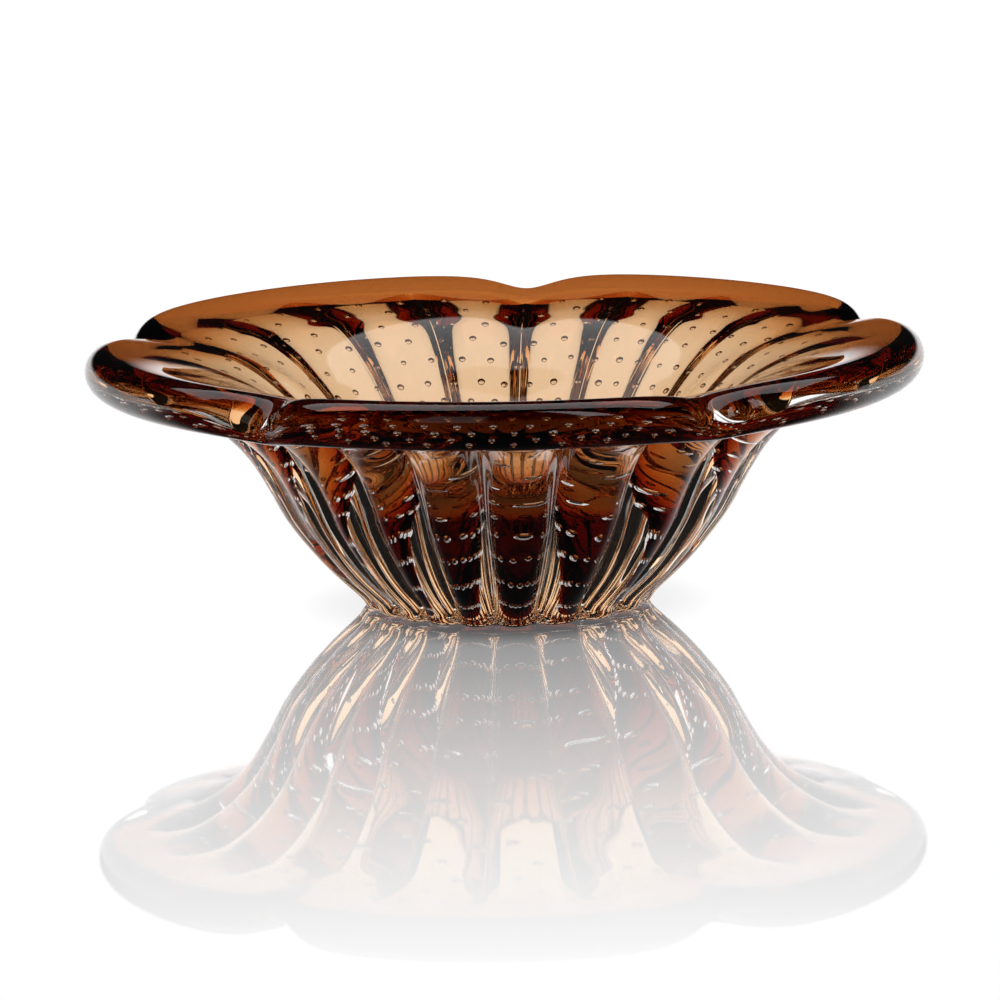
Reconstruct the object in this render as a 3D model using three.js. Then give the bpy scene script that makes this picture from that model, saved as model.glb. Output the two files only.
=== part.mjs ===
// A cased art glass bowl, in millimetres, +Z up, standing on z = 0 with its axis on the Z axis.
//
// Two layers of glass make it. The amber lining is the inner cup, so its inside is the bowl itself.
// The clear casing is the thick outer gather, moulded with upright rounded ribs, which covers the
// lining from the foot to the shoulder of the rim. The soft rim was pinched in five places, which
// leaves five petal-shaped lobes, and each lobe carries four of the ribs.

import * as THREE from 'three';

// ---- Driving dimensions ----
const RIBS_PER_LOBE = 4;
const RIM_RADIUS = 150;       // axis to the outermost point of a lobe
const RIM_HEIGHT = 97;        // floor to the top of a lobe
const LIP_RADIUS = 8.4;       // the rim's rounded edge, in section
const PINCH_DROP = 5;         // how far a pinch lowers the top of the rim
const PINCH_WIDTH = 0.1;      // half width of a pinch, as a share of a lobe
const UNDER_LIP_PINCH = 0.45; // how much of a pinch the underside of the lip follows
const RIB_DEPTH = 8.5;        // from a rib's crest to the groove beside it
const RIB_ROUNDNESS = 0.95;   // a rib's section: 0 is a shallow arc, 1 a full half ellipse
const LIP_FROM = -75;         // the lip's round section runs from here under the rim, to
const LIP_TO = 95;            // here just inside its top, in degrees above level
const SEAM_ANGLE = 55;        // where the lining meets the casing on the lip, above level
const SEAM_SETBACK = 3;       // the casing stops this many degrees short of the lining
const NOSE_TILTS = [-50, -15, 20]; // directions sampled around the lining's round edge
const LINING_NOSE = 2.8;      // radius of the lining's edge inside the lip
const LAYER_GAP = 0.3;        // free gap kept between the two layers

// The five pinches as the maker left them: degrees around from +X, and how far each draws the rim in.
const PINCHES = [
  { angle: 86, depth: 8 },
  { angle: 166, depth: 20 },
  { angle: 234, depth: 13 },
  { angle: 301, depth: 12 },
  { angle: 380, depth: 13 },
];

// ---- Mesh fineness ----
const COLUMNS = 120;
const OUTER_STEPS = 14;
const INNER_STEPS = 11;
const UNDER_LIP_STEPS = 5;
const OVER_LIP_STEPS = 3;

// ---- Outlines, from the axis outwards ----
// The outside, by radius and height on a rib's crest.
// `pinch` is how much of a pinch it follows, `rib` how much of the rib depth it has.
const OUTSIDE = [
  { r: 44, z: 0, pinch: 0, rib: 0 },
  { r: 50.5, z: 0.8, pinch: 0, rib: 0.3 },
  { r: 54, z: 5, pinch: 0, rib: 0.6 },
  { r: 63.5, z: 14, pinch: 0, rib: 0.9 },
  { r: 72, z: 23.5, pinch: 0, rib: 1 },
  { r: 80.5, z: 35, pinch: 0, rib: 1 },
  { r: 87, z: 47, pinch: 0, rib: 1 },
  { r: 94, z: 58, pinch: 0.05, rib: 1 },
  { r: 103, z: 67, pinch: 0.15, rib: 1 },
  { r: 113, z: 73.2, pinch: 0.28, rib: 1 },
  { r: 122, z: 76.5, pinch: 0.36, rib: 0.4 },
  { r: 132, z: 79, pinch: 0.42, rib: 0 },
];
// The inside, with the thickness of the amber behind it.
const INSIDE = [
  { r: 0, z: 29, pinch: 0, amber: 18 },
  { r: 11, z: 31, pinch: 0, amber: 16 },
  { r: 23, z: 36.5, pinch: 0, amber: 11 },
  { r: 37, z: 45, pinch: 0.1, amber: 5.5 },
  { r: 53, z: 53.5, pinch: 0.2, amber: 3.2 },
  { r: 67, z: 63.5, pinch: 0.32, amber: 2.6 },
  { r: 80, z: 74.5, pinch: 0.45, amber: 2.4 },
  { r: 93, z: 83, pinch: 0.6, amber: 2.4 },
  { r: 109, z: 89.3, pinch: 0.78, amber: 3.2 },
  { r: 127, z: 94, pinch: 0.93, amber: 6 },
];

// ---- Outline points, each with its outward direction in the radial plane ----
const radians = THREE.MathUtils.degToRad;
const direction = (angle) => new THREE.Vector2(Math.cos(radians(angle)), Math.sin(radians(angle)));

// A smooth curve through an outline, sampled evenly, with its shares carried along.
function smooth(outline, steps) {
  const place = new THREE.SplineCurve(outline.map((p) => new THREE.Vector2(p.r, p.z)));
  const share = (key) => new THREE.SplineCurve(outline.map((p, i) => new THREE.Vector2(i, p[key] ?? 0)));
  const [pinch, rib, amber] = ['pinch', 'rib', 'amber'].map(share);
  return Array.from({ length: steps + 1 }, (_, i) => {
    const t = i / steps;
    const at = place.getPoint(t);
    const out = place.getTangent(t).rotateAround(new THREE.Vector2(), -Math.PI / 2);
    return {
      at,
      out: at.x > 0 ? out : new THREE.Vector2(0, -1),
      pinch: pinch.getPoint(t).y,
      rib: rib.getPoint(t).y,
      amber: amber.getPoint(t).y,
    };
  });
}

// A point on the lip's round section, at an angle above level.
const LIP_CENTRE = new THREE.Vector2(RIM_RADIUS - LIP_RADIUS, RIM_HEIGHT - LIP_RADIUS);
function onLip(angle, radius = LIP_RADIUS) {
  const out = direction(angle);
  const pinch = THREE.MathUtils.lerp(UNDER_LIP_PINCH, 1, (1 + out.y) / 2);
  return { at: LIP_CENTRE.clone().addScaledVector(out, radius), out, pinch, rib: 0 };
}

function lipArc(from, to, steps) {
  return Array.from({ length: steps + 1 }, (_, i) => onLip(THREE.MathUtils.lerp(from, to, i / steps)));
}

// The lining's outer face: the inside moved out by the amber's thickness, plus any extra.
function liningBack(extra) {
  return inside.map((p) => ({ ...p, at: p.at.clone().addScaledVector(p.out, p.amber + extra) }));
}

// The lining's round edge inside the lip, from its outer face up to the seam.
function liningEdge(extra) {
  return NOSE_TILTS.map((tilt) => {
    const centre = onLip(SEAM_ANGLE, LIP_RADIUS - LINING_NOSE);
    const at = centre.at.clone().addScaledVector(direction(tilt), LINING_NOSE + extra);
    return { ...centre, at };
  });
}

// ---- The bowl's plan: lobes, pinches and ribs, by a count of lobes around the bowl ----
// Trigonometric interpolation through the five pinches keeps the plan smooth.
const LOBES = PINCHES.length;
function throughPinches(values, lobe) {
  return values.reduce((sum, value, k) => {
    const away = (2 * Math.PI * (lobe - k)) / LOBES;
    return sum + (value * (1 + 2 * Math.cos(away) + 2 * Math.cos(2 * away))) / LOBES;
  }, 0);
}

const STRAY_ANGLES = PINCHES.map((p, k) => p.angle - (360 / LOBES) * k);
function planAngle(lobe) {
  return radians((360 / LOBES) * lobe + throughPinches(STRAY_ANGLES, lobe));
}

// 1 in a pinch, falling smoothly to nearly 0 in the middle of a lobe.
function pinchShape(lobe) {
  const away = Math.sin(Math.PI * lobe) / (Math.PI * PINCH_WIDTH);
  return (1 + away ** 2) ** -1.5;
}

// A rib's rounded section: 0 on its crest, 1 in the sharp groove on either side of it.
// The pinches fall on grooves.
const GROOVE_LEVEL = Math.sqrt(1 - RIB_ROUNDNESS ** 2);
function grooveShape(lobe) {
  const across = 2 * ((RIBS_PER_LOBE * lobe) % 1) - 1;
  const level = Math.sqrt(1 - (RIB_ROUNDNESS * across) ** 2);
  return (1 - level) / (1 - GROOVE_LEVEL);
}

// A closed lathe body, with each of its columns moved to follow the plan.
function layer(outline) {
  const geometry = new THREE.LatheGeometry(outline.map((p) => p.at), COLUMNS);
  const position = geometry.getAttribute('position');
  for (let column = 0; column <= COLUMNS; column++) {
    const lobe = (LOBES * (column % COLUMNS)) / COLUMNS;
    const angle = planAngle(lobe);
    const depth = throughPinches(PINCHES.map((p) => p.depth), lobe);
    outline.forEach((p, row) => {
      const pinch = p.pinch * pinchShape(lobe);
      const groove = p.rib * RIB_DEPTH * grooveShape(lobe);
      const r = p.at.x - depth * pinch - groove * p.out.x;
      const z = p.at.y - PINCH_DROP * pinch - groove * p.out.y;
      position.setXYZ(column * outline.length + row, r * Math.cos(angle), r * Math.sin(angle), z);
    });
  }
  return geometry;
}

// ---- The two layers' outlines ----
const outside = smooth(OUTSIDE, OUTER_STEPS);
const inside = smooth(INSIDE, INNER_STEPS);

const LINING_OUTLINE = [
  ...liningBack(0),
  ...liningEdge(0),
  ...lipArc(SEAM_ANGLE, LIP_TO, OVER_LIP_STEPS),
  ...inside.toReversed(),
];
const CASING_OUTLINE = [
  { at: new THREE.Vector2(0, 0), out: new THREE.Vector2(0, -1), pinch: 0, rib: 0 },
  ...outside,
  ...lipArc(LIP_FROM, SEAM_ANGLE - SEAM_SETBACK, UNDER_LIP_STEPS),
  ...liningEdge(LAYER_GAP).toReversed(),
  ...liningBack(LAYER_GAP).toReversed(),
];

// ---- The assembly ----
function piece(name, outline, look) {
  const material = new THREE.MeshStandardMaterial({ metalness: 0, transparent: true, ...look });
  const mesh = new THREE.Mesh(layer(outline), material);
  mesh.name = name;
  return mesh;
}

const bowl = new THREE.Group();
bowl.add(piece('amber_lining', LINING_OUTLINE, { color: 0xc87828, roughness: 0.03, opacity: 0.7 }));
bowl.add(piece('clear_casing', CASING_OUTLINE, { color: 0xf2f4f6, roughness: 0.02, opacity: 0.3 }));

export default bowl;
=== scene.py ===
"""Looks of the cased art glass bowl: clear ribbed glass over an amber cup, with rows of air bubbles.

The frame is the CAD part's: +Z up, the foot on z = 0, one lobe towards -Y. The bowl's sizes are in
millimetres and become metres where a mesh is made. The studio's and the camera's are in metres.
"""
import math

import bmesh
import bpy
import numpy as np
from mathutils import Matrix, Vector


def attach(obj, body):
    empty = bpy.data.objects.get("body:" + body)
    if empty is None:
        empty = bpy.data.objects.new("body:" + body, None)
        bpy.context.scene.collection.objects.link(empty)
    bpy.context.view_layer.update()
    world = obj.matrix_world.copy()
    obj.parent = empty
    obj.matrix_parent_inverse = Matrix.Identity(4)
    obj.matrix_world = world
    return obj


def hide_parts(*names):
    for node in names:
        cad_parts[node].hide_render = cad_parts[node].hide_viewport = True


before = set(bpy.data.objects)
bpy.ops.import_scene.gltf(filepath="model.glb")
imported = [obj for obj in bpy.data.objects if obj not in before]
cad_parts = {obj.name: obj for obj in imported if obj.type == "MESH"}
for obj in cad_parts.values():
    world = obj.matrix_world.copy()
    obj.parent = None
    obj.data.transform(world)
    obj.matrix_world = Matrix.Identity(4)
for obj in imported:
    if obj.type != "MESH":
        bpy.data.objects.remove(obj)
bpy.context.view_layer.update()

MM = 0.001

# ---- The bowl ----
RIBS_PER_LOBE = 4
RIM_RADIUS = 150            # axis to the outermost point of a lobe
RIM_HEIGHT = 97             # floor to the top of a lobe
LIP_RADIUS = 8.4            # the rim's rounded edge, in section
LIP_FROM, LIP_TO = -75, 95  # the lip's round section, in degrees above level
PINCH_DROP = 5              # how far a pinch lowers the top of the rim
PINCH_WIDTH = 0.1           # half width of a pinch, as a share of a lobe
UNDER_LIP_PINCH = 0.45      # how much of a pinch the underside of the lip follows
RIB_DEPTH = 8.5             # from a rib's crest to the groove beside it
RIB_ROUNDNESS = 0.95        # a rib's section: 0 is a shallow arc, 1 a full half ellipse
SEAM_ANGLE = 55             # where the amber ends on the lip, in degrees above level
NOSE_RADIUS = 2.8           # the amber's rounded edge inside the lip
NOSE_FROM, NOSE_TO = -50, 20  # that edge's round section, in degrees above level
SKIN = 0.05                 # clear glass kept over the amber, so that the two surfaces never touch

# The five pinches: degrees around from +X, and how far each draws the rim in.
PINCHES = [(86, 8), (166, 20), (234, 13), (301, 12), (380, 13)]
LOBES = len(PINCHES)

# The outside, from the axis outwards, on a rib's crest.
# Each point: radius, height, share of a pinch, share of the ribs.
OUTSIDE = [
    (44, 0, 0, 0),
    (50.5, 0.8, 0, 0.3),
    (54, 5, 0, 0.6),
    (63.5, 14, 0, 0.9),
    (72, 23.5, 0, 1),
    (80.5, 35, 0, 1),
    (87, 47, 0, 1),
    (94, 58, 0.05, 1),
    (103, 67, 0.15, 1),
    (113, 73.2, 0.28, 1),
    (122, 76.5, 0.36, 0.4),
    (132, 79, 0.42, 0),
]
# The inside, from the axis outwards.
# Each point: radius, height, share of a pinch, thickness of the amber.
INSIDE = [
    (0, 29, 0, 18),
    (11, 31, 0, 16),
    (23, 36.5, 0, 11),
    (37, 45, 0.1, 5.5),
    (53, 53.5, 0.2, 3.2),
    (67, 63.5, 0.32, 2.6),
    (80, 74.5, 0.45, 2.4),
    (93, 83, 0.6, 2.4),
    (109, 89.3, 0.78, 3.2),
    (127, 94, 0.93, 6),
]

# ---- The bubbles ----
BUBBLE_RADIUS = 1.35
BUBBLE_FLATNESS = 0.75      # their depth into the wall, as a share of their width
BUBBLE_STRAY = 0.35         # how far one strays from its place in the row
BUBBLE_SIZES = (0.8, 1.15)  # smallest and largest, as shares of the usual radius
ROW_SPACING = 10.5          # between two rows, up the wall
FIRST_ROW = 2
BUBBLES_PER_ROW = 50
BUBBLE_SEED = 7

# ---- Mesh fineness ----
COLUMNS = 480
CUSP_CROWDING = 0.75        # columns crowd into the grooves, 0 is even and 1 is the most
OUTSIDE_STEPS = 92
INSIDE_STEPS = 84
LIP_STEPS = 22
NOSE_STEPS = 7
BALL_SUBDIVISIONS = 2

# ---- Glass ----
GLASS_IOR = 1.5
AIR_IN_GLASS_IOR = 1 / GLASS_IOR
AMBER_COLOUR = (0.79, 0.47, 0.05)
AMBER_DENSITY = 480
RIPPLE_SIZE = 22            # waves per metre of the hand-worked surface
RIPPLE_STRENGTH = 0.06
RIPPLE_DEPTH = 0.0006       # metres
RIPPLE_DETAIL = 1.5
BUBBLE_RIPPLE_SIZE = 880    # the same on a bubble's wall, which is far smaller
BUBBLE_RIPPLE_DEPTH = 0.00006

# ---- The studio, by direction as seen from the bowl ----
# Azimuths are in degrees to the right of straight behind the bowl, or for a front light of straight
# in front.
# Each light: azimuths, elevations, edge softness in degrees, strength.
SWEEP_LIGHT = ((-20, 20), (3, 30), 1, 1.3)
BACK_LIGHT = ((-70, 70), (-90, 3), 3, 1.5)
FRONT_LIGHTS = [((30, 44), (45, 78), 2, 3.0), ((-28, -6), (28, 58), 2, 0.5)]
# The overhead softbox, as the rectangle it makes on a ceiling one metre up.
OVERHEAD_X = (-0.8, 0.8)
OVERHEAD_Y = (0.03, 0.9)
OVERHEAD_SOFTNESS = 0.03
OVERHEAD_STRENGTH = 1.8
ROOM_STRENGTH = 0.01
LOWEST_CEILING = 0.001      # keeps the ceiling's rectangle above the horizon

# ---- The floor ----
FLOOR_SIZE = 12
FLOOR_DROP = 0.1            # millimetres below the foot
FILM_DROP = 0.05            # the same for the film, which is over the floor
FLOOR_POLISH = 0.02         # roughness of the mirror coat
PAINTED_FRONT_FLOOR_GLOW = 0.03     # painted light: the floor's glow that the glass gets in front of the bowl
PAINTED_BACK_FLOOR_GLOW = 1.1       # and behind it, under the lit sweep, painted brighter as if lit by it
FLOOR_TURN = (-0.06, 0.06)  # y where the one passes into the other
MIRROR_SPAN = (-0.56, -0.03)  # y where the mirror image is gone, and where it is at its strongest
MIRROR_SHARE = 0.75
PAINTED_SHADOW_SPAN = (0.05, 0.085)  # radius where the painted shadow under the foot's edge starts and ends
# the floor's darkest glow, in the painted shadow at the foot
PAINTED_SHADOW_GLOW = 0.35

# ---- The camera ----
CAMERA_PITCH = 10.61        # degrees down
CAMERA_ROLL = 1.056
CAMERA_DISTANCE = 2.649
CAMERA_LENS = 266.5
SENSOR = 36
AIM_RIGHT, AIM_UP = -0.0028, 0.0361  # the view's centre from the foot's centre, across the view
FARTHEST_SEEN = 100


# ---- Outlines ----
def spline(points, at):
    """A Catmull-Rom curve through the points, read at each share of its length in points."""
    points = np.asarray(points, float)
    along = np.clip(at, 0, 1) * (len(points) - 1)
    i = np.minimum(along.astype(int), len(points) - 2)
    w = (along - i)[:, None]
    before, start, end, after = (points[np.clip(i + k, 0, len(points) - 1)] for k in (-1, 0, 1, 2))
    leave, arrive = (end - before) / 2, (after - start) / 2
    cubic = 2 * start - 2 * end + leave + arrive
    square = -3 * start + 3 * end - 2 * leave - arrive
    return cubic * w**3 + square * w**2 + leave * w + start


def smooth(points, steps):
    """An outline's points, evenly sampled, and the outward direction at each."""
    at = np.linspace(0, 1, steps + 1)
    nudge = 1e-4
    line = spline(points, at)
    way = spline(points, at + nudge)[:, :2] - spline(points, at - nudge)[:, :2]
    way /= np.linalg.norm(way, axis=1)[:, None]
    out = np.column_stack([way[:, 1], -way[:, 0]])
    out[line[:, 0] <= 0] = (0, -1)
    return line, out


def lip(angles, radius):
    """Points on the lip's round section, and the outward direction at each."""
    turn = np.radians(angles)
    out = np.column_stack([np.cos(turn), np.sin(turn)])
    centre = np.array([RIM_RADIUS - LIP_RADIUS, RIM_HEIGHT - LIP_RADIUS])
    pinch = UNDER_LIP_PINCH + (1 - UNDER_LIP_PINCH) * (1 + out[:, 1]) / 2
    return np.column_stack([centre + radius * out, pinch, np.zeros(len(turn))]), out


def moved_out(line, out, by):
    """The inside's outline moved into the glass, with no ribs on it."""
    places = line[:, :2] + out * np.reshape(by, (-1, 1))
    places[line[:, 0] <= 0, 0] = 0
    return np.column_stack([places, line[:, 2], np.zeros(len(line))])


# ---- Plan: lobes, pinches and ribs, by a count of lobes around the bowl ----
def through_pinches(values, lobe):
    """A smooth curve around the bowl that takes each value at its pinch."""
    total = 0
    for k, value in enumerate(values):
        away = 2 * np.pi * (lobe - k) / LOBES
        total = total + value * (1 + 2 * np.cos(away) + 2 * np.cos(2 * away)) / LOBES
    return total


def plan_angle(lobe):
    stray = [angle - 360 / LOBES * k for k, (angle, _) in enumerate(PINCHES)]
    return np.radians(360 / LOBES * lobe + through_pinches(stray, lobe))


def pinch_shape(lobe):
    """1 in a pinch, falling smoothly to nearly 0 in the middle of a lobe."""
    away = np.sin(np.pi * lobe) / (np.pi * PINCH_WIDTH)
    return (1 + away**2) ** -1.5


def groove_shape(lobe):
    """0 on a rib's crest, 1 in the sharp groove on either side of it."""
    across = 2 * ((RIBS_PER_LOBE * lobe) % 1) - 1
    level = np.sqrt(1 - (RIB_ROUNDNESS * across) ** 2)
    return (1 - level) / (1 - math.sqrt(1 - RIB_ROUNDNESS**2))


def place(line, out, lobe):
    """Where an outline's points lie around the bowl: rows by columns by x, y, z in metres."""
    pinch = line[:, 2:3] * pinch_shape(lobe)
    groove = line[:, 3:4] * RIB_DEPTH * groove_shape(lobe)
    depth = through_pinches([d for _, d in PINCHES], lobe)
    r = line[:, 0:1] - depth * pinch - groove * out[:, 0:1]
    z = line[:, 1:2] - PINCH_DROP * pinch - groove * out[:, 1:2]
    angle = plan_angle(lobe)
    return np.stack([r * np.cos(angle), r * np.sin(angle), z], axis=2) * MM


def column_lobes():
    even = np.arange(COLUMNS) * LOBES / COLUMNS
    turn = 2 * np.pi * RIBS_PER_LOBE
    return even - CUSP_CROWDING * np.sin(turn * even) / turn


# ---- Meshes ----
def add_mesh(name, verts, faces, material):
    mesh = bpy.data.meshes.new(name)
    mesh.from_pydata(verts, [], faces)
    mesh.materials.append(material)
    mesh.polygons.foreach_set("use_smooth", [True] * len(faces))
    mesh.update()
    piece = bpy.data.objects.new(name, mesh)
    bpy.context.scene.collection.objects.link(piece)
    return piece


def turned_body(name, line, out, material):
    """A closed body whose outline starts and ends on the axis."""
    rows = place(line, out, column_lobes())
    middle = rows[1:-1]
    count = len(middle)
    bottom, top = (row.mean(axis=0).tolist() for row in (rows[0], rows[-1]))
    verts = [bottom, *middle.reshape(-1, 3).tolist(), top]
    first, last = 0, len(verts) - 1
    last_row = 1 + (count - 1) * COLUMNS
    faces = []
    for c in range(COLUMNS):
        d = (c + 1) % COLUMNS
        faces.append((first, 1 + d, 1 + c))
        faces.append((last, last_row + c, last_row + d))
        for r in range(count - 1):
            low, high = 1 + r * COLUMNS, 1 + (r + 1) * COLUMNS
            faces.append((low + c, low + d, high + d, high + c))
    return add_mesh(name, verts, faces, material)


def glass_body(material):
    """The whole bowl's outer skin of clear glass, from the foot over the lip and down the inside."""
    outside, outside_out = smooth(OUTSIDE, OUTSIDE_STEPS)
    inside, inside_out = smooth(INSIDE, INSIDE_STEPS)
    edge, edge_out = lip(np.linspace(LIP_FROM, LIP_TO, LIP_STEPS), LIP_RADIUS)
    line = np.concatenate([[(0, 0, 0, 0)], outside, edge, moved_out(inside, inside_out, 0)[::-1]])
    out = np.concatenate([[(0, -1)], outside_out, edge_out, inside_out[::-1]])
    return turned_body("glass_body", line, out, material)


def amber_layer(material):
    """The amber cup, just under the inside and the top of the lip."""
    inside, inside_out = smooth(INSIDE, INSIDE_STEPS)
    back = moved_out(inside, inside_out, inside[:, 3])
    front = moved_out(inside, inside_out, SKIN)
    nose_centre, _ = lip([SEAM_ANGLE], LIP_RADIUS - NOSE_RADIUS - SKIN)
    tilt = np.radians(np.linspace(NOSE_FROM, NOSE_TO, NOSE_STEPS))
    nose_out = np.column_stack([np.cos(tilt), np.sin(tilt)])
    nose = np.repeat(nose_centre, NOSE_STEPS, axis=0)
    nose[:, :2] += NOSE_RADIUS * nose_out
    top, top_out = lip(np.linspace(SEAM_ANGLE, LIP_TO, LIP_STEPS // 2), LIP_RADIUS - SKIN)
    line = np.concatenate([back, nose, top, front[::-1]])
    out = np.concatenate([inside_out, nose_out, top_out, inside_out[::-1]])
    return turned_body("amber_layer", line, out, material)


def bubbles(material):
    """Staggered rows of flattened air bubbles, half in the clear glass and half in the amber."""
    inside, inside_out = smooth(INSIDE, INSIDE_STEPS)
    back = moved_out(inside, inside_out, inside[:, 3])
    travel = np.concatenate([[0], np.cumsum(np.linalg.norm(np.diff(back[:, :2], axis=0), axis=1))])
    ball = bmesh.new()
    bmesh.ops.create_icosphere(ball, subdivisions=BALL_SUBDIVISIONS, radius=1)
    ball_verts = np.array([v.co[:] for v in ball.verts])
    ball_faces = np.array([[v.index for v in f.verts] for f in ball.faces])
    ball.free()
    rng = np.random.default_rng(BUBBLE_SEED)
    verts, faces = [], []
    for row in range(FIRST_ROW, int(travel[-1] / ROW_SPACING) + 1):
        i = int(np.searchsorted(travel, row * ROW_SPACING))
        if i >= len(back):
            break
        stagger = 0.5 * (row % 2)
        lobe = (np.arange(BUBBLES_PER_ROW) + stagger) * LOBES / BUBBLES_PER_ROW
        centres = place(back[i : i + 1], inside_out[i : i + 1], lobe)[0]
        slope_r, slope_z = inside_out[i]
        for centre, angle in zip(centres, plan_angle(lobe)):
            deep = np.array([slope_r * math.cos(angle), slope_r * math.sin(angle), slope_z])
            round_about = np.array([-math.sin(angle), math.cos(angle), 0])
            up_wall = np.cross(deep, round_about)
            size = BUBBLE_RADIUS * MM * rng.uniform(*BUBBLE_SIZES)
            axes = np.array([round_about, up_wall, BUBBLE_FLATNESS * deep]) * size
            stray = rng.normal(0, BUBBLE_STRAY * MM, 2) @ np.array([round_about, up_wall])
            faces.append(ball_faces + len(verts) * len(ball_verts))
            verts.append(ball_verts @ axes + centre + stray)
    verts, faces = np.concatenate(verts).tolist(), np.concatenate(faces).tolist()
    return add_mesh("bubbles", verts, faces, material)


# ---- Materials ----
class Formula:
    """Adds Math nodes to a tree, from sockets and numbers."""

    def __init__(self, tree):
        self.tree = tree

    def math(self, operation, *values):
        node = self.tree.nodes.new("ShaderNodeMath")
        node.operation = operation
        for socket, value in zip(node.inputs, values):
            if isinstance(value, (int, float)):
                socket.default_value = value
            else:
                self.tree.links.new(value, socket)
        return node.outputs[0]

    def ramp(self, value, span, results=(0, 1), shape="SMOOTHSTEP"):
        """The first result below the span, the second above it, and a slope between."""
        node = self.tree.nodes.new("ShaderNodeMapRange")
        node.interpolation_type = shape
        for name, number in zip(("From Min", "From Max", "To Min", "To Max"), (*span, *results)):
            node.inputs[name].default_value = number
        self.tree.links.new(value, node.inputs["Value"])
        return node.outputs["Result"]

    def blend(self, start, end, share):
        return self.math("MULTIPLY_ADD", self.math("SUBTRACT", end, start), share, start)

    def above(self, value, edge, softness):
        return self.ramp(value, (edge - softness, edge + softness))

    def within(self, value, span, softness):
        below_end = self.math("SUBTRACT", 1, self.above(value, span[1], softness))
        return self.math("MULTIPLY", self.above(value, span[0], softness), below_end)

    def patch(self, azimuth, elevation, light):
        azimuths, elevations, softness, strength = light
        across = self.within(azimuth, azimuths, softness)
        upright = self.within(elevation, elevations, softness)
        return self.math("MULTIPLY", self.math("MULTIPLY", across, upright), strength)


def new_material(name):
    material = bpy.data.materials.new(name)
    material.use_nodes = True
    tree = material.node_tree
    return material, tree, tree.nodes["Principled BSDF"], tree.nodes["Material Output"]


def rippled(tree, shader, scale, depth):
    """The slow ripple that tools and reheating leave in hot-worked glass."""
    coords = tree.nodes.new("ShaderNodeTexCoord")
    noise = tree.nodes.new("ShaderNodeTexNoise")
    noise.inputs["Scale"].default_value = scale
    noise.inputs["Detail"].default_value = RIPPLE_DETAIL
    bump = tree.nodes.new("ShaderNodeBump")
    bump.inputs["Strength"].default_value = RIPPLE_STRENGTH
    bump.inputs["Distance"].default_value = depth
    tree.links.new(coords.outputs["Object"], noise.inputs["Vector"])
    tree.links.new(noise.outputs["Fac"], bump.inputs["Height"])
    tree.links.new(bump.outputs["Normal"], shader.inputs["Normal"])


def glass(name, ior):
    material, tree, shader, output = new_material(name)
    shader.inputs["Base Color"].default_value = (1, 1, 1, 1)
    shader.inputs["Transmission Weight"].default_value = 1
    shader.inputs["Roughness"].default_value = 0
    shader.inputs["IOR"].default_value = ior
    return material, tree, shader, output


def clear_glass():
    material, tree, shader, _ = glass("clear_glass", GLASS_IOR)
    rippled(tree, shader, RIPPLE_SIZE, RIPPLE_DEPTH)
    return material


def amber_glass():
    """Colour in the glass itself: its surface lies inside the clear body, so it bends nothing."""
    material, tree, _, output = glass("amber_glass", 1)
    colour = tree.nodes.new("ShaderNodeVolumeAbsorption")
    colour.inputs["Color"].default_value = (*AMBER_COLOUR, 1)
    colour.inputs["Density"].default_value = AMBER_DENSITY
    tree.links.new(colour.outputs["Volume"], output.inputs["Volume"])
    return material


def trapped_air():
    material, tree, shader, _ = glass("trapped_air", AIR_IN_GLASS_IOR)
    rippled(tree, shader, BUBBLE_RIPPLE_SIZE, BUBBLE_RIPPLE_DEPTH)
    return material


def floor_material():
    """White acrylic on a light table. Its mirror image fades towards the front.

    The camera sees it evenly bright, with a painted shadow at the foot, where its glow is darker. The
    glass
    gets painted light from it: a glow brighter on the floor behind, under the sweep, than on the floor
    in front.
    """
    material, tree, shader, output = new_material("white_acrylic")
    tree.nodes.remove(shader)
    f = Formula(tree)
    coords = tree.nodes.new("ShaderNodeTexCoord")
    split = tree.nodes.new("ShaderNodeSeparateXYZ")
    length = tree.nodes.new("ShaderNodeVectorMath")
    length.operation = "LENGTH"
    tree.links.new(coords.outputs["Object"], split.inputs["Vector"])
    tree.links.new(coords.outputs["Object"], length.inputs[0])
    camera_ray = tree.nodes.new("ShaderNodeLightPath").outputs["Is Camera Ray"]
    y = split.outputs["Y"]
    # painted shadow: the glow that the camera sees is darker near the foot
    glow_with_painted_shadow = f.ramp(length.outputs["Value"], PAINTED_SHADOW_SPAN, (PAINTED_SHADOW_GLOW, 1))
    # painted light: the glass sees the floor glow brighter behind than in front
    painted_floor_light = f.ramp(y, FLOOR_TURN, (PAINTED_FRONT_FLOOR_GLOW, PAINTED_BACK_FLOOR_GLOW))
    glow = tree.nodes.new("ShaderNodeEmission")
    mirror = tree.nodes.new("ShaderNodeBsdfGlossy")
    mirror.inputs["Color"].default_value = (1, 1, 1, 1)
    mirror.inputs["Roughness"].default_value = FLOOR_POLISH
    mix = tree.nodes.new("ShaderNodeMixShader")
    tree.links.new(f.blend(painted_floor_light, glow_with_painted_shadow, camera_ray), glow.inputs["Strength"])
    share = f.math("MULTIPLY", f.ramp(y, MIRROR_SPAN, (0, MIRROR_SHARE), "LINEAR"), camera_ray)
    tree.links.new(share, mix.inputs["Fac"])
    tree.links.new(glow.outputs["Emission"], mix.inputs[1])
    tree.links.new(mirror.outputs["BSDF"], mix.inputs[2])
    tree.links.new(mix.outputs["Shader"], output.inputs["Surface"])
    return material


def film_material():
    """A clear film on the acrylic. It bends and tints nothing."""
    material, tree, shader, output = new_material("clear_film")
    tree.nodes.remove(shader)
    film = tree.nodes.new("ShaderNodeBsdfTransparent")
    tree.links.new(film.outputs["BSDF"], output.inputs["Surface"])
    return material


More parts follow.
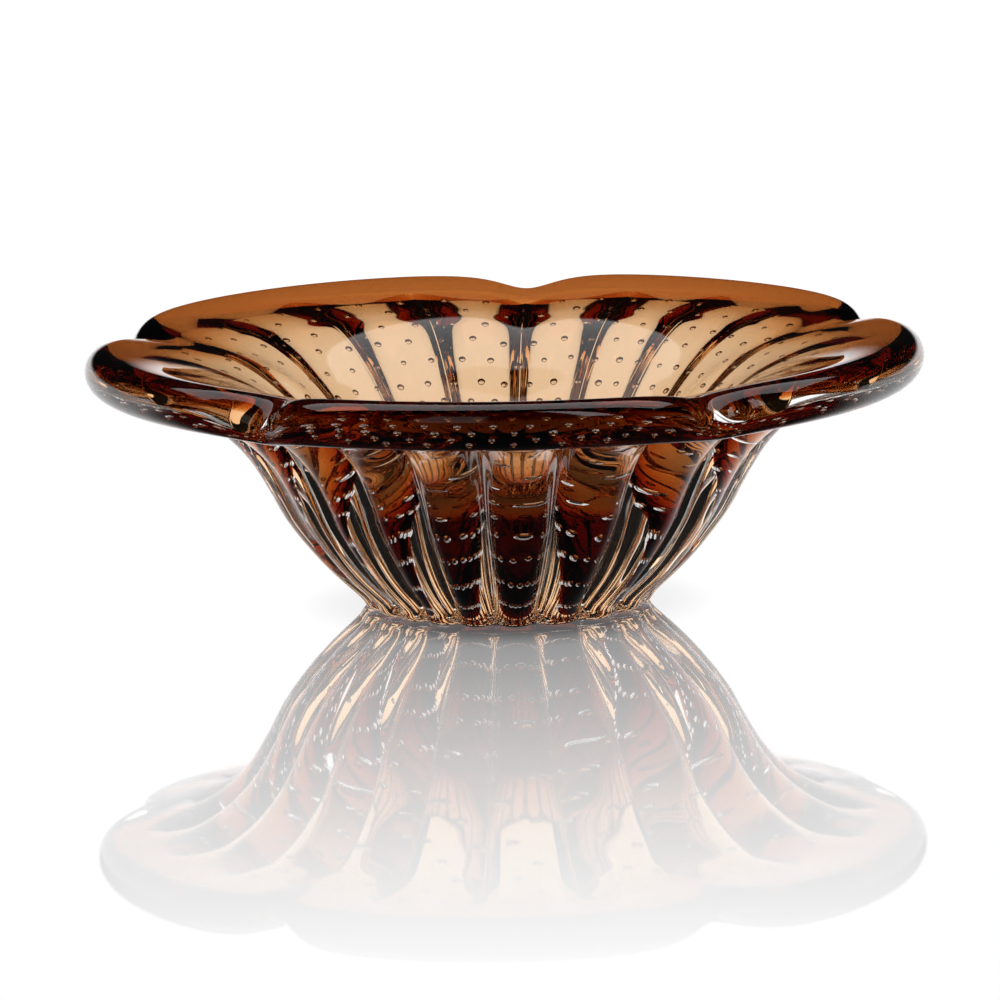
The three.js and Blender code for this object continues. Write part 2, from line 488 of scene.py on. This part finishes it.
# ---- The studio ----
def studio():
    """A dark room with softboxes behind, overhead and in front, and a white sweep behind the bowl."""
    world = bpy.data.worlds.new("studio")
    bpy.context.scene.world = world
    world.use_nodes = True
    tree = world.node_tree
    tree.nodes.clear()
    f = Formula(tree)
    coords = tree.nodes.new("ShaderNodeTexCoord")
    split = tree.nodes.new("ShaderNodeSeparateXYZ")
    tree.links.new(coords.outputs["Generated"], split.inputs["Vector"])
    x, y, z = split.outputs
    degrees = math.degrees(1)
    elevation = f.math("MULTIPLY", f.math("ARCSINE", z), degrees)
    from_back = f.math("MULTIPLY", f.math("ARCTAN2", x, y), degrees)
    from_front = f.math("MULTIPLY", f.math("ARCTAN2", x, f.math("MULTIPLY", y, -1)), degrees)
    ceiling = f.math("MAXIMUM", z, LOWEST_CEILING)
    ceiling_x = f.within(f.math("DIVIDE", x, ceiling), OVERHEAD_X, OVERHEAD_SOFTNESS)
    ceiling_y = f.within(f.math("DIVIDE", y, ceiling), OVERHEAD_Y, OVERHEAD_SOFTNESS)
    overhead = f.math("MULTIPLY", ceiling_x, ceiling_y)
    total = f.math("MULTIPLY_ADD", overhead, OVERHEAD_STRENGTH, ROOM_STRENGTH)
    total = f.math("ADD", total, f.patch(from_back, elevation, BACK_LIGHT))
    for light in FRONT_LIGHTS:
        total = f.math("ADD", total, f.patch(from_front, elevation, light))
    # The camera sees plain white. Of all else, only the floor's mirror sees the sweep, through the film.
    path = tree.nodes.new("ShaderNodeLightPath")
    past_film = f.math("MINIMUM", path.outputs["Transparent Depth"], 1)
    total = f.math("MULTIPLY_ADD", past_film, f.patch(from_back, elevation, SWEEP_LIGHT), total)
    background = tree.nodes.new("ShaderNodeBackground")
    output = tree.nodes.new("ShaderNodeOutputWorld")
    tree.links.new(f.blend(total, 1, path.outputs["Is Camera Ray"]), background.inputs["Strength"])
    tree.links.new(background.outputs["Background"], output.inputs["Surface"])


def level_sheet(name, drop, material):
    half = FLOOR_SIZE / 2
    square = ((-half, -half), (half, -half), (half, half), (-half, half))
    corners = [(x, y, -drop * MM) for x, y in square]
    return add_mesh(name, corners, [(0, 1, 2, 3)], material)


def camera():
    pitch, roll = math.radians(CAMERA_PITCH), math.radians(CAMERA_ROLL)
    forward = Vector((0, math.cos(pitch), -math.sin(pitch)))
    level_up = Vector((0, math.sin(pitch), math.cos(pitch)))
    level_right = Vector((1, 0, 0))
    right = math.cos(roll) * level_right - math.sin(roll) * level_up
    up = math.sin(roll) * level_right + math.cos(roll) * level_up
    at = AIM_RIGHT * right + AIM_UP * up - CAMERA_DISTANCE * forward
    data = bpy.data.cameras.new("camera")
    data.lens = CAMERA_LENS
    data.sensor_width = SENSOR
    data.clip_end = FARTHEST_SEEN
    piece = bpy.data.objects.new("camera", data)
    bpy.context.scene.collection.objects.link(piece)
    turn = Matrix((right, up, -forward)).transposed()
    piece.matrix_world = Matrix.Translation(at) @ turn.to_4x4()
    bpy.context.scene.camera = piece


def light_paths():
    """Thick glass needs long light paths. Light focused through it isn't followed onto the floor."""
    cycles = bpy.context.scene.cycles
    cycles.max_bounces = 48
    cycles.transmission_bounces = 40
    cycles.glossy_bounces = 16
    cycles.transparent_max_bounces = 32
    cycles.diffuse_bounces = 4
    cycles.caustics_refractive = False
    cycles.caustics_reflective = False
    bpy.context.scene.view_settings.view_transform = "Standard"


body = glass_body(clear_glass())
amber = amber_layer(amber_glass())
air = bubbles(trapped_air())
for piece in (body, amber, air):
    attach(piece, "root")
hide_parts("clear_casing")
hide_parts("amber_lining")
level_sheet("floor", FLOOR_DROP, floor_material())
level_sheet("floor_film", FILM_DROP, film_material())
studio()
camera()
light_paths()
